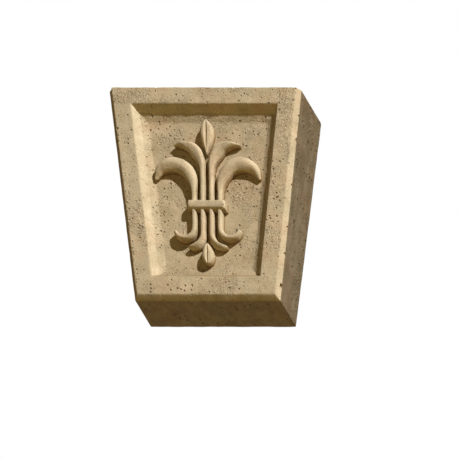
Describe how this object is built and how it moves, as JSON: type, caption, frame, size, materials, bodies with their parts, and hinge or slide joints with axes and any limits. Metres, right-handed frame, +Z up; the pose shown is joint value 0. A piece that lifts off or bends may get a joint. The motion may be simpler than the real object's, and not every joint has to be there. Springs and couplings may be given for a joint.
{
  "type": "arch keystone",
  "caption": "Cast stone arch keystone: a tapered wedge block with chamfered edges, a sunk panel and a carved fleur-de-lis.",
  "frame": {"origin": "middle of the flat back face, where the block beds against the wall", "axes": "+X towards the viewer's right, +Y out of the back face into the wall, +Z up; the carved face looks along -Y"},
  "size_m": [0.336, 0.071, 0.356],
  "materials": {
    "cast_stone": "dry-tamped buff cast stone, matt and finely pitted"
  },
  "bodies": {
    "root": {"keystone": "cast_stone"}
  },
  "joints": []
}
